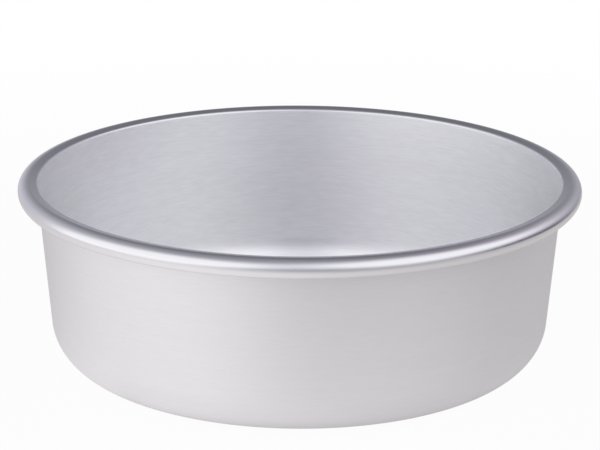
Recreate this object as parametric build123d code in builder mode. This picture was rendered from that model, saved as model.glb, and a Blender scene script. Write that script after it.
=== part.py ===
from build123d import *
from math import acos, atan, cos, degrees, pi, radians, sin, sqrt, tan
import os

# Round cake tin, drawn from one disc of aluminium sheet.
# The base is flat, the wall leans out towards the rim, and the edge is curled
# outwards and down into a hollow bead. Nothing is joined on and nothing moves.
# The origin is the centre of the base, on the surface that the tin stands on,
# with +Z up through the open top.

# Driving sizes, in millimetres and degrees
rim_diameter = 220.0  # outside of the rolled bead
overall_height = 73.5  # underside of the base to the top of the bead
sheet_thickness = 0.6
bead_width = 8.1  # across the rolled bead, level
bead_height = 7.7  # across the rolled bead, upright
lip_radius = 1.2  # outside, where the bead's top turns down into the wall
lip_slope = 9.0  # degrees that the bead's top falls towards that lip
corner_radius = 18.0  # outside, where the wall turns into the base
curl_end_gap = 0.3  # between the end of the curl and the wall beside it
wall_lean = 4.9  # degrees from upright, wider at the top

# The bead's section is an oval ring, open where the curl ends. The outer skin
# goes on from the inside of the wall, and the inner skin from its outside. On the
# side of the wall the ring isn't round: its top runs flat to a tight lip.
outer_reach = bead_width / 2
outer_rise = bead_height / 2
inner_reach = outer_reach - sheet_thickness
inner_rise = outer_rise - sheet_thickness
bead_radius = rim_diameter / 2 - outer_reach
bead_level = overall_height - outer_rise

# Radius that the wall gains for each unit of height, and height that the flat
# inside the bead's top loses for each unit of radius towards the lip
lean = tan(radians(wall_lean))
fall = tan(radians(lip_slope))


def oval_point(reach, rise, angle):
    """A point of an oval around the bead's centre, at an angle counted from outwards."""
    return (bead_radius + reach * cos(angle), bead_level + rise * sin(angle))


def wall_join(reach, rise):
    """The angle at which the leaning wall would run smoothly into an oval of the bead."""
    return pi - atan(rise / reach * lean)


def flat_join(reach, rise):
    """The angle at which the flat inside the bead's top runs smoothly into an oval."""
    return pi / 2 + atan(reach / rise * fall)


def face_radius(point, level):
    """The radius, at a level, of the leaning wall face that goes through a point."""
    return point[0] - (point[1] - level) * lean


def lip_corner(wall_point, flat_point):
    """Where the leaning wall face and the flat would meet, if the lip were sharp."""
    foot = face_radius(wall_point, flat_point[1])
    level = flat_point[1] - (flat_point[0] - foot) * fall / (1 - lean * fall)
    return (face_radius(wall_point, level), level)


# The two skins leave the oval for the flat, then turn at the lip into the wall's
# two faces. These faces would touch the ovals, and are set by where they would.
inside_wall = oval_point(outer_reach, outer_rise, wall_join(outer_reach, outer_rise))
outside_wall = (inside_wall[0] + sheet_thickness / cos(radians(wall_lean)), inside_wall[1])
outer_join = flat_join(outer_reach, outer_rise)
inner_join = flat_join(inner_reach, inner_rise)
outer_flat = oval_point(outer_reach, outer_rise, outer_join)
inner_flat = oval_point(inner_reach, inner_rise, inner_join)
outer_lip = lip_corner(inside_wall, outer_flat)
inner_lip = lip_corner(outside_wall, inner_flat)

# Where those faces would meet the floor and the base, if the corner were sharp
floor_edge = (face_radius(inside_wall, sheet_thickness), sheet_thickness)
base_edge = (face_radius(outside_wall, 0), 0)

# The curl turns under the bead and stops short of the wall. Around the outer
# skin, the distance to the wall's outside face follows a cosine, with this swing
# and this shift in angle, so the angle of the end comes from the gap alone.
swing = sqrt(outer_reach**2 + (outer_rise * lean) ** 2)
shift = atan(outer_rise / outer_reach * lean)
end_offset = face_radius(outside_wall, bead_level) + curl_end_gap - bead_radius
curl_end = -acos(end_offset / swing) - shift

# One closed section through the sheet, turned about the tin's upright axis
with BuildPart() as tin_shell:
    with BuildSketch(Plane.XZ):
        with BuildLine():
            # Floor, inside of the corner, inside of the wall, lip and flat
            FilletPolyline(
                (0, sheet_thickness),
                floor_edge,
                outer_lip,
                outer_flat,
                radius=[corner_radius - sheet_thickness, lip_radius],
            )
            # Outer skin of the bead: over the top, down the outside and under
            EllipticalCenterArc(
                (bead_radius, bead_level),
                outer_reach,
                outer_rise,
                start_angle=degrees(outer_join),
                arc_size=degrees(curl_end - outer_join),
            )
            # Trimmed edge of the sheet, at the end of the curl
            Line(
                oval_point(outer_reach, outer_rise, curl_end),
                oval_point(inner_reach, inner_rise, curl_end),
            )
            # Inner skin of the bead, back to the flat
            EllipticalCenterArc(
                (bead_radius, bead_level),
                inner_reach,
                inner_rise,
                start_angle=degrees(curl_end),
                arc_size=degrees(inner_join - curl_end),
            )
            # Flat and lip, outside of the wall, outside of the corner and underside of the base
            FilletPolyline(
                inner_flat,
                inner_lip,
                base_edge,
                (0, 0),
                radius=[lip_radius - sheet_thickness, corner_radius],
            )
            Line((0, 0), (0, sheet_thickness))
        make_face()
    revolve(axis=Axis.Z)

tin_shell.part.label = "tin_shell"

os.makedirs("parts", exist_ok=True)
export_step(tin_shell.part, "parts/tin_shell.step")
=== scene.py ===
"""Looks of the round cake tin: its satin aluminium skin, a pale floor, a soft studio and the camera."""
import math

import bpy
from mathutils import Matrix, Vector


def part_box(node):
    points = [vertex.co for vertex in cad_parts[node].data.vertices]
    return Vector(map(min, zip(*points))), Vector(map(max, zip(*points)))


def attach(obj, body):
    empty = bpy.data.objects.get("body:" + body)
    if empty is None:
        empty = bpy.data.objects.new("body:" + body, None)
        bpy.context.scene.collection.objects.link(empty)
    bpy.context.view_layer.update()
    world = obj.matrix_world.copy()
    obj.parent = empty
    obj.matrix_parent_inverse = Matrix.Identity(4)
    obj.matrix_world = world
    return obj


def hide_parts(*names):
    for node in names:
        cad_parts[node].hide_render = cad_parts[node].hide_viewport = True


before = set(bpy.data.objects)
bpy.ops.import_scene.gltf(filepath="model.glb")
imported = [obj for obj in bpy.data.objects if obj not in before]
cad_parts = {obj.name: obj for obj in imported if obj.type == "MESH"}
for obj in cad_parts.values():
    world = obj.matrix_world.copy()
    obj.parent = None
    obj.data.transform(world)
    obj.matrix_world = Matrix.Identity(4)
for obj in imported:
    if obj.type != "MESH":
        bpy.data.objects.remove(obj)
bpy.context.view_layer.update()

# The tin's sizes, in metres. The rim and the height come from the frame.
mm = 0.001
high_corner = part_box("tin_shell")[1]
rim_radius = high_corner[0]
overall_height = high_corner[2]
sheet_thickness = 0.6 * mm
bead_width = 8.1 * mm
bead_height = 7.7 * mm
lip_radius = 1.2 * mm  # outside, where the bead's top turns down into the wall
lip_slope = math.radians(9)
corner_radius = 18 * mm
curl_end_gap = 0.3 * mm
wall_lean = math.radians(4.9)
edge_round = 0.06 * mm  # over which the shading rounds the corners of the trimmed edge

# How finely the skin's mesh is divided
turn_segments = 272
arc_step = math.radians(3)  # along the arcs of the section
line_step = 2.5 * mm  # along the wall
floor_step = 4 * mm  # across the floor and the base
least_step = 0.03 * mm  # points of the section closer than this are one point

# The bead's oval: half its width and half its height, on the sheet's two skins
outer_reach = bead_width / 2
outer_rise = bead_height / 2
inner_reach = outer_reach - sheet_thickness
inner_rise = outer_rise - sheet_thickness
bead_radius = rim_radius - outer_reach
bead_level = overall_height - outer_rise

# Radius that the wall gains for each unit of height, and height that the flat
# inside the bead's top loses for each unit of radius towards the lip
lean = math.tan(wall_lean)
fall = math.tan(lip_slope)


def oval_point(reach, rise, angle):
    """A point of an oval around the bead's centre, at an angle counted from outwards."""
    return Vector((bead_radius + reach * math.cos(angle), bead_level + rise * math.sin(angle)))


def oval_arc(reach, rise, start, end):
    """Points along an oval of the bead."""
    count = max(2, round(abs(end - start) / arc_step))
    return [oval_point(reach, rise, start + (end - start) * i / count) for i in range(count + 1)]


def straight(start, end, step):
    """Points along a straight run, at most one step apart."""
    count = max(1, math.ceil((end - start).length / step))
    return [start.lerp(end, i / count) for i in range(count + 1)]


def corner_arc(before, corner, after, radius):
    """Points along the arc that rounds a corner between two straight runs."""
    back = (before - corner).normalized()
    ahead = (after - corner).normalized()
    half = back.angle(ahead) / 2
    middle = corner + (back + ahead).normalized() * radius / math.sin(half)
    reach = radius / math.tan(half)
    first = corner + back * reach - middle
    last = corner + ahead * reach - middle
    sweep = math.atan2(first.x * last.y - first.y * last.x, first.dot(last))
    count = max(2, round(abs(sweep) / arc_step))
    points = []
    for i in range(count + 1):
        turn = sweep * i / count
        points.append(middle + Matrix.Rotation(turn, 2) @ first)
    return points


def face_radius(point, level):
    """The radius, at a level, of the leaning wall face that goes through a point."""
    return point.x - (point.y - level) * lean


def lip_corner(wall_point, flat_point):
    """Where the leaning wall face and the flat by the lip would meet, if the lip were sharp."""
    foot = face_radius(wall_point, flat_point.y)
    level = flat_point.y - (flat_point.x - foot) * fall / (1 - lean * fall)
    return Vector((face_radius(wall_point, level), level))


def skin_section():
    """The sheet's section from the middle of the floor round to that of the base, as points and finishes."""
    # The angles where the leaning wall and the flat by the lip would touch the ovals
    touch = math.pi - math.atan(outer_rise / outer_reach * lean)
    inside_wall = oval_point(outer_reach, outer_rise, touch)
    outside_wall = inside_wall + Vector((sheet_thickness / math.cos(wall_lean), 0))
    outer_join = math.pi / 2 + math.atan(outer_reach / outer_rise * fall)
    inner_join = math.pi / 2 + math.atan(inner_reach / inner_rise * fall)
    outer_flat = oval_point(outer_reach, outer_rise, outer_join)
    inner_flat = oval_point(inner_reach, inner_rise, inner_join)
    outer_lip = lip_corner(inside_wall, outer_flat)
    inner_lip = lip_corner(outside_wall, inner_flat)
    floor_edge = Vector((face_radius(inside_wall, sheet_thickness), sheet_thickness))
    base_edge = Vector((face_radius(outside_wall, 0), 0))

    # The curl ends beside the wall, at the angle where the gap is right
    swing = math.hypot(outer_reach, outer_rise * lean)
    shift = math.atan(outer_rise / outer_reach * lean)
    end_offset = face_radius(outside_wall, bead_level) + curl_end_gap - bead_radius
    curl_end = -math.acos(end_offset / swing) - shift
    outer_end = oval_point(outer_reach, outer_rise, curl_end)
    inner_end = oval_point(inner_reach, inner_rise, curl_end)

    # Each stretch goes on from the last point of the one before, and a point has the
    # finish of the skin that ends there
    floor_middle = Vector((0, sheet_thickness))
    base_middle = Vector((0, 0))
    inner_radius = corner_radius - sheet_thickness
    floor_bend = corner_arc(floor_middle, floor_edge, outer_lip, inner_radius)
    outer_bend = corner_arc(floor_edge, outer_lip, outer_flat, lip_radius)
    inner_bend = corner_arc(inner_flat, inner_lip, base_edge, lip_radius - sheet_thickness)
    base_bend = corner_arc(inner_lip, base_edge, base_middle, corner_radius)
    trimmed = (inner_end - outer_end).normalized() * edge_round
    stretches = [
        ("floor", straight(floor_middle, floor_bend[0], floor_step)),
        ("floor", floor_bend),
        ("inside", straight(floor_bend[-1], outer_bend[0], line_step)),
        ("outside", outer_bend),
        ("outside", oval_arc(outer_reach, outer_rise, outer_join, curl_end)),
        ("outside", [outer_end + trimmed, inner_end - trimmed]),
        ("outside", oval_arc(inner_reach, inner_rise, curl_end, inner_join)),
        ("outside", inner_bend),
        ("outside", straight(inner_bend[-1], base_bend[0], line_step)),
        ("outside", base_bend),
        ("outside", straight(base_bend[-1], base_middle, floor_step)),
    ]
    section = []
    for finish, points in stretches:
        for point in points:
            if not section or (point - section[-1][0]).length > least_step:
                section.append((point, finish))
    return section


def turn_about_axis(name, section, finishes):
    """A mesh of the section turned about the upright axis, which closes on the axis at both ends."""
    verts = []
    faces = []
    slots = []
    rings = section[1:-1]
    for point, _ in rings:
        for k in range(turn_segments):
            angle = 2 * math.pi * k / turn_segments
            verts.append((point.x * math.cos(angle), point.x * math.sin(angle), point.y))
    for i in range(len(rings) - 1):
        for k in range(turn_segments):
            here = i * turn_segments + k
            beside = i * turn_segments + (k + 1) % turn_segments
            faces.append((here, here + turn_segments, beside + turn_segments, beside))
            slots.append(finishes.index(rings[i + 1][1]))
    ends = ((0, section[0], False), (len(rings) - 1, section[-1], True))
    for ring, (middle, finish), flipped in ends:
        tip = len(verts)
        verts.append((0, 0, middle.y))
        for k in range(turn_segments):
            here = ring * turn_segments + k
            beside = ring * turn_segments + (k + 1) % turn_segments
            faces.append((beside, here, tip) if flipped else (here, beside, tip))
            slots.append(finishes.index(finish))
    mesh = bpy.data.meshes.new(name)
    mesh.from_pydata(verts, [], faces)
    mesh.update()
    mesh.polygons.foreach_set("use_smooth", [True] * len(mesh.polygons))
    mesh.polygons.foreach_set("material_index", slots)
    thing = bpy.data.objects.new(name, mesh)
    bpy.context.scene.collection.objects.link(thing)
    return thing


class Nodes:
    """A material's node tree, with short calls to add nodes and join them."""

    def __init__(self, name):
        self.material = bpy.data.materials.new(name)
        self.material.use_nodes = True
        self.tree = self.material.node_tree
        self.tree.nodes.clear()

    def add(self, kind, settings=None, values=None):
        """A node with these settings. values gives its sockets a number or another node's output."""
        node = self.tree.nodes.new(kind)
        for key, value in (settings or {}).items():
            setattr(node, key, value)
        for key, value in (values or {}).items():
            if isinstance(value, bpy.types.NodeSocket):
                self.tree.links.new(value, node.inputs[key])
            else:
                node.inputs[key].default_value = value
        return node

    def math(self, operation, *terms):
        """The result of one sum."""
        return self.add("ShaderNodeMath", {"operation": operation}, dict(enumerate(terms))).outputs[0]

    def step(self, value, start, end, low, high):
        """A number that turns smoothly from low to high as a value goes from start to end."""
        node = self.add("ShaderNodeMapRange", {"interpolation_type": "SMOOTHSTEP"})
        self.tree.links.new(value, node.inputs["Value"])
        for key, number in (("From Min", start), ("From Max", end), ("To Min", low), ("To Max", high)):
            node.inputs[key].default_value = number
        return node.outputs["Result"]

    def finish(self, shader):
        """Sends a shader to the surface, and gives the material."""
        self.add("ShaderNodeOutputMaterial", values={"Surface": shader})
        return self.material


# The finish of each stretch of the skin: its roughness, how much its lines draw
# reflections out across them, and how strongly the lines show
finishes = {
    "inside": (0.43, 0.42, 1.3),
    "floor": (0.30, 0.85, 1.0),
    "outside": (0.43, 0.6, 0.5),
}
rough_bead = 0.24
crown_painted_shade = 0.83  # painted shade: the upper half of the bead is coloured this share of the wall's brightness
metal_colour = (0.892, 0.892, 0.901)

# The lines: fine ones with broader streaks among them, how deep they are, and how far
# they change the colour and the roughness
line_spacing, line_length = 0.38 * mm, 6 * mm
streak_spacing, streak_length = 2.5 * mm, 60 * mm
fine_share, streak_share = 0.8, 0.2
line_detail = 1.0
pattern_middle = 0.5
line_depth = 0.012 * mm
line_relief = 0.25
line_contrast = 0.085
line_roughness = 0.08
across_lines = 0.25  # of a turn, from along the lines to across them

# The bead is burnished: its crown by height, and the rest by how far outside the wall
# it is. The wall's outside face, drawn down to the floor, would meet it at the wall's line.
burnish_low, burnish_high = overall_height - 1.5 * mm, overall_height - 0.7 * mm
wall_line = bead_radius - outer_reach - bead_level * lean + sheet_thickness
burnish_start, burnish_end = wall_line + 0.1 * mm, wall_line + 0.5 * mm
# Heights over which the painted shade on the bead's upper half comes in
crown_low, crown_high = bead_level - 2 * mm, bead_level + 3 * mm

# The Mix node's sockets for its two colours and for its result
first_colour, second_colour, mixed_colour = 6, 7, 2


def satin_aluminium(finish):
    """Bare aluminium with fine lines round the axis, rougher on the wall than on the burnished bead."""
    rough_here, anisotropy, line_strength = finishes[finish]
    metal = Nodes("satin_aluminium_" + finish)
    place = metal.add("ShaderNodeTexCoord").outputs["Object"]
    split = metal.add("ShaderNodeSeparateXYZ", values={0: place})
    x, y, z = split.outputs
    squares = metal.math("ADD", metal.math("MULTIPLY", x, x), metal.math("MULTIPLY", y, y))
    radius = metal.math("SQRT", squares)

    def lines(spacing, length):
        """A pattern of lines round the axis, this far apart and about this long."""
        across = metal.math("DIVIDE", radius, spacing)
        up = metal.math("DIVIDE", z, spacing)
        along = metal.math("DIVIDE", x, length)
        vector = metal.add("ShaderNodeCombineXYZ", values={0: across, 1: up, 2: along}).outputs[0]
        fourth = metal.math("DIVIDE", y, length)
        values = {"Vector": vector, "W": fourth, "Scale": 1.0, "Detail": line_detail}
        return metal.add("ShaderNodeTexNoise", {"noise_dimensions": "4D"}, values).outputs["Fac"]

    fine = lines(line_spacing, line_length)
    streaks = lines(streak_spacing, streak_length)

    beyond_wall = metal.math("SUBTRACT", radius, metal.math("MULTIPLY", z, lean))
    by_height = metal.step(z, burnish_low, burnish_high, 0, 1)
    by_reach = metal.step(beyond_wall, burnish_start, burnish_end, 0, 1)
    burnished = metal.math("MAXIMUM", by_height, by_reach)
    smooth_rough = metal.step(burnished, 0, 1, rough_here, rough_bead)
    above_middle = metal.math("SUBTRACT", fine, pattern_middle)
    lines_rough = metal.math("MULTIPLY", above_middle, line_roughness)
    rough = metal.math("ADD", smooth_rough, lines_rough)

    fine_part = metal.math("MULTIPLY", fine, fine_share)
    shade = metal.math("ADD", fine_part, metal.math("MULTIPLY", streaks, streak_share))
    contrast = line_contrast * line_strength
    colour = metal.add("ShaderNodeMix", {"data_type": "RGBA"}, {"Factor": shade})
    colour.inputs[first_colour].default_value = (*(part * (1 - contrast) for part in metal_colour), 1)
    colour.inputs[second_colour].default_value = (*(part * (1 + contrast) for part in metal_colour), 1)
    colour_with_painted_shade = metal.add("ShaderNodeVectorMath", {"operation": "SCALE"}, {0: colour.outputs[mixed_colour]})
    # Painted shade: the colour of the burnished bead's upper half is darkened, standing in for dimmer
    # reflections there
    painted_shade_mask = metal.math("MULTIPLY", burnished, metal.step(z, crown_low, crown_high, 0, 1))
    metal.tree.links.new(metal.step(painted_shade_mask, 0, 1, 1, crown_painted_shade), colour_with_painted_shade.inputs["Scale"])
    bump = metal.add(
        "ShaderNodeBump",
        values={"Strength": line_relief * line_strength, "Distance": line_depth, "Height": fine},
    )
    tangent = metal.add("ShaderNodeTangent", {"direction_type": "RADIAL", "axis": "Z"})
    shader = metal.add(
        "ShaderNodeBsdfPrincipled",
        values={
            "Base Color": colour_with_painted_shade.outputs[0],
            "Roughness": rough,
            "Normal": bump.outputs[0],
            "Tangent": tangent.outputs[0],
            "Metallic": 1.0,
            "Anisotropic": anisotropy,
            "Anisotropic Rotation": across_lines,
        },
    )
    return metal.finish(shader.outputs[0])


def make_tin():
    """The tin's skin, which stands for the CAD solid in the same place."""
    skin = turn_about_axis("tin_skin", skin_section(), list(finishes))
    for finish in finishes:
        skin.data.materials.append(satin_aluminium(finish))
    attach(skin, "root")
    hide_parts("tin_shell")


# The studio. Directions are given as degrees round from behind the tin, clockwise
# from above, and degrees above the level.
tent_radius = 2.5
tent_rows, tent_columns = 30, 96

# The tent's light where nothing is added to it, and the least and most that it gives
ground_light = (0.205, 0.199, 0.228)
least_light = 0.03
most_light = (1.20, 1.20, 1.24)

# Each soft panel or dark cloth: its direction round and up, how tightly it is drawn
# together, how much light its middle adds, and its tint
panels = {
    "low light behind": (341, 8, 2.9, 0.63, (1.01, 1.00, 1.12)),
    "window on the left": (260, 9, 7.4, 1.38, (1.02, 1.00, 1.02)),
    "panel in front on the left": (224, 26, 7.4, 1.50, (0.995, 1.00, 1.07)),
    "panel in front on the right": (142, 35, 7.5, 1.19, (0.99, 1.00, 1.06)),
    "panel on the right": (82, 32, 5.2, 1.93, (1.01, 1.00, 1.05)),
    "dark cloth behind": (354, 27, 7.6, -0.53, (1.03, 1.00, 1.12)),
    "dark cloth high on the right": (68, 47, 8.2, -1.02, (0.98, 1.00, 1.02)),
    "dark cloth low on the right": (83, -4, 6.4, -1.07, (1.00, 1.00, 1.02)),
}

# The floor as the metal shows it: pale by the tin, brighter on the window's side,
# dimmer in front away from the tin, dark under it, and far off as the low light there.
# The two uneven parts have a direction round, how tightly they are drawn together, and
# the light that they add. Starts and ends are distances from the tin's axis, in metres.
floor_light = 0.57
floor_tint = (1.04, 1.00, 1.02)
window_on_floor = (220, 1.8, 0.30)
dim_on_floor = (170, 3.3, -0.22)
dim_start, dim_end = 0.17, 0.28
low_light_start, low_light_end = 0.42, 0.60
shade_light = 0.30
shade_start, shade_end = 0.078, 0.096
middle_height = 0.04  # of the tin, where the low light is seen from

# How much of the floor is pure white to the camera, near the tin and away from it
white_near, white_away = 0.955, 1.0
near_radius, away_radius = 0.20, 0.60
floor_colour = (0.76, 0.75, 0.74, 1)
floor_size = 12.0


def towards(round_degrees, up_degrees):
    """The direction from the tin towards a point of the studio."""
    turn = math.radians(round_degrees)
    up = math.radians(up_degrees)
    return Vector((math.cos(up) * math.sin(turn), math.cos(up) * math.cos(turn), math.sin(up)))


def direction(nodes, place):
    """The direction of a place, as a vector one long."""
    return nodes.add("ShaderNodeVectorMath", {"operation": "NORMALIZE"}, {0: place}).outputs[0]


def soft_spot(nodes, here, turn, up, tightness):
    """One in the middle of a soft spot, in this direction, and less and less away from it."""
    facing = nodes.add("ShaderNodeVectorMath", {"operation": "DOT_PRODUCT"}, {0: here})
    facing.inputs[1].default_value = towards(turn, up)
    short = nodes.math("SUBTRACT", facing.outputs["Value"], 1.0)
    return nodes.math("EXPONENT", nodes.math("MULTIPLY", short, tightness))


def studio_light(nodes, here):
    """The studio's light in a direction: a dim ground with soft bright panels and dark cloths."""
    light = nodes.add("ShaderNodeCombineXYZ", values=dict(enumerate(ground_light))).outputs[0]
    for turn, up, tightness, strength, tint in panels.values():
        spot = soft_spot(nodes, here, turn, up, tightness)
        glow = nodes.add("ShaderNodeVectorMath", {"operation": "SCALE"}, {"Scale": spot})
        glow.inputs[0].default_value = Vector(tint) * strength
        total = nodes.add("ShaderNodeVectorMath", {"operation": "ADD"}, {0: light, 1: glow.outputs[0]})
        light = total.outputs[0]
    least = nodes.add("ShaderNodeVectorMath", {"operation": "MAXIMUM"}, {0: light})
    least.inputs[1].default_value = (least_light, least_light, least_light)
    most = nodes.add("ShaderNodeVectorMath", {"operation": "MINIMUM"}, {0: least.outputs[0]})
    most.inputs[1].default_value = most_light
    return most.outputs[0]


def make_tent():
    """A dome of light cloth over the tin, which the camera doesn't see."""
    verts = []
    faces = []
    for i in range(tent_rows):
        for k in range(tent_columns):
            verts.append(tent_radius * towards(360 * k / tent_columns, 90 * i / tent_rows))
    for i in range(tent_rows - 1):
        for k in range(tent_columns):
            here = i * tent_columns + k
            beside = i * tent_columns + (k + 1) % tent_columns
            faces.append((here, beside, beside + tent_columns, here + tent_columns))
    top = len(verts)
    verts.append((0, 0, tent_radius))
    for k in range(tent_columns):
        here = (tent_rows - 1) * tent_columns + k
        beside = (tent_rows - 1) * tent_columns + (k + 1) % tent_columns
        faces.append((here, beside, top))
    mesh = bpy.data.meshes.new("light_tent")
    mesh.from_pydata(verts, [], faces)
    mesh.update()
    tent = bpy.data.objects.new("light_tent", mesh)
    bpy.context.scene.collection.objects.link(tent)
    cloth = Nodes("tent_cloth")
    place = cloth.add("ShaderNodeTexCoord").outputs["Object"]
    light = studio_light(cloth, direction(cloth, place))
    shine = cloth.add("ShaderNodeEmission", values={"Color": light})
    tent.data.materials.append(cloth.finish(shine.outputs[0]))
    tent.visible_camera = False


def floor_in_metal(nodes, place, away):
    """The floor's light as the metal shows it."""
    here = direction(nodes, place)
    further = nodes.step(away, dim_start, dim_end, 0, 1)
    turn, tightness, strength = window_on_floor
    bright = nodes.math("MULTIPLY", soft_spot(nodes, here, turn, 0, tightness), strength)
    turn, tightness, strength = dim_on_floor
    dim = nodes.math("MULTIPLY", soft_spot(nodes, here, turn, 0, tightness), strength)
    uneven = nodes.math("ADD", bright, nodes.math("MULTIPLY", dim, further))
    open_level = nodes.math("SUBTRACT", nodes.math("ADD", uneven, floor_light), shade_light)
    out_of_shade = nodes.math("MULTIPLY", open_level, nodes.step(away, shade_start, shade_end, 0, 1))
    level = nodes.math("ADD", out_of_shade, shade_light)
    near = nodes.add("ShaderNodeVectorMath", {"operation": "SCALE"}, {"Scale": level})
    near.inputs[0].default_value = floor_tint
    below = nodes.add("ShaderNodeVectorMath", {"operation": "SUBTRACT"}, {0: place})
    below.inputs[1].default_value = (0, 0, middle_height)
    low_light = studio_light(nodes, direction(nodes, below.outputs[0]))
    share = nodes.step(away, low_light_start, low_light_end, 0, 1)
    colours = {first_colour: near.outputs[0], second_colour: low_light}
    mix = nodes.add("ShaderNodeMix", {"data_type": "RGBA"}, {"Factor": share, **colours})
    return mix.outputs[mixed_colour]


def floor_paint():
    """A pale floor: white to the camera, and pale in reflections, with the tin's shadow kept."""
    paint = Nodes("pale_floor")
    place = paint.add("ShaderNodeTexCoord").outputs["Object"]
    away = paint.add("ShaderNodeVectorMath", {"operation": "LENGTH"}, {0: place}).outputs["Value"]
    path = paint.add("ShaderNodeLightPath")
    matt = paint.add("ShaderNodeBsdfDiffuse")
    matt.inputs["Color"].default_value = floor_colour
    white = paint.add("ShaderNodeEmission")
    white.inputs["Color"].default_value = (1, 1, 1, 1)
    shown = paint.add("ShaderNodeEmission", values={"Color": floor_in_metal(paint, place, away)})
    share = paint.step(away, near_radius, away_radius, white_near, white_away)
    seen = paint.math("MULTIPLY", path.outputs["Is Camera Ray"], share)
    by_eye = paint.add("ShaderNodeMixShader", values={0: seen, 1: matt.outputs[0], 2: white.outputs[0]})
    reflected = paint.math("MAXIMUM", path.outputs["Is Glossy Ray"], path.outputs["Is Transmission Ray"])
    mix = paint.add("ShaderNodeMixShader", values={0: reflected, 1: by_eye.outputs[0], 2: shown.outputs[0]})
    return paint.finish(mix.outputs[0])


def make_floor():
    """The floor that the tin stands on."""
    half = floor_size / 2
    mesh = bpy.data.meshes.new("floor")
    corners = [(-half, -half, 0), (half, -half, 0), (half, half, 0), (-half, half, 0)]
    mesh.from_pydata(corners, [], [(0, 1, 2, 3)])
    mesh.update()
    floor = bpy.data.objects.new("floor", mesh)
    bpy.context.scene.collection.objects.link(floor)
    floor.data.materials.append(floor_paint())


def make_world():
    """A white world for the camera and for reflections, and none for light."""
    world = bpy.data.worlds.new("white_world")
    world.use_nodes = True
    tree = world.node_tree
    background = tree.nodes["Background"]
    background.inputs["Color"].default_value = (1, 1, 1, 1)
    path = tree.nodes.new("ShaderNodeLightPath")
    seen = tree.nodes.new("ShaderNodeMath")
    seen.operation = "MAXIMUM"
    tree.links.new(path.outputs["Is Camera Ray"], seen.inputs[0])
    reflected = tree.nodes.new("ShaderNodeMath")
    reflected.operation = "MAXIMUM"
    tree.links.new(path.outputs["Is Glossy Ray"], reflected.inputs[0])
    tree.links.new(path.outputs["Is Transmission Ray"], reflected.inputs[1])
    tree.links.new(reflected.outputs[0], seen.inputs[1])
    tree.links.new(seen.outputs[0], background.inputs["Strength"])
    bpy.context.scene.world = world


# The camera of the photograph, in a frame of 600 by 450 pixels
frame_width, frame_height = 600, 450
camera_distance = 0.99  # from the middle of the tin at the bead's level
camera_elevation = math.radians(16.363)
camera_roll = math.radians(0.272)
camera_lens = 151.55  # in mm, on a sensor 36 mm wide
sensor_width = 36
aim_x, aim_y = 299.68, 183.55  # the pixel where that middle lies
nearest_seen = 0.01


def make_camera():
    """The camera looks down at the tin from the front, as in the photograph."""
    data = bpy.data.cameras.new("camera")
    data.sensor_width = sensor_width
    data.lens = camera_lens
    data.clip_start = nearest_seen
    camera = bpy.data.objects.new("camera", data)
    bpy.context.scene.collection.objects.link(camera)
    focal_pixels = frame_width * camera_lens / sensor_width
    place = Vector((0, -camera_distance * math.cos(camera_elevation), 0))
    place.z = bead_level + camera_distance * math.sin(camera_elevation)
    yaw = -math.atan((aim_x - frame_width / 2) / focal_pixels)
    pitch = camera_elevation + math.atan((frame_height / 2 - aim_y) / focal_pixels)
    ahead = Vector((math.sin(yaw) * math.cos(pitch), math.cos(yaw) * math.cos(pitch), -math.sin(pitch)))
    level = Vector((math.cos(yaw), -math.sin(yaw), 0))
    up = level.cross(ahead)
    right = math.cos(camera_roll) * level + math.sin(camera_roll) * up
    above = math.cos(camera_roll) * up - math.sin(camera_roll) * level
    camera.matrix_world = Matrix.Translation(place) @ Matrix((right, above, -ahead)).transposed().to_4x4()
    bpy.context.scene.camera = camera


make_tin()
make_floor()
make_tent()
make_world()
make_camera()
bpy.context.scene.view_settings.view_transform = "Standard"
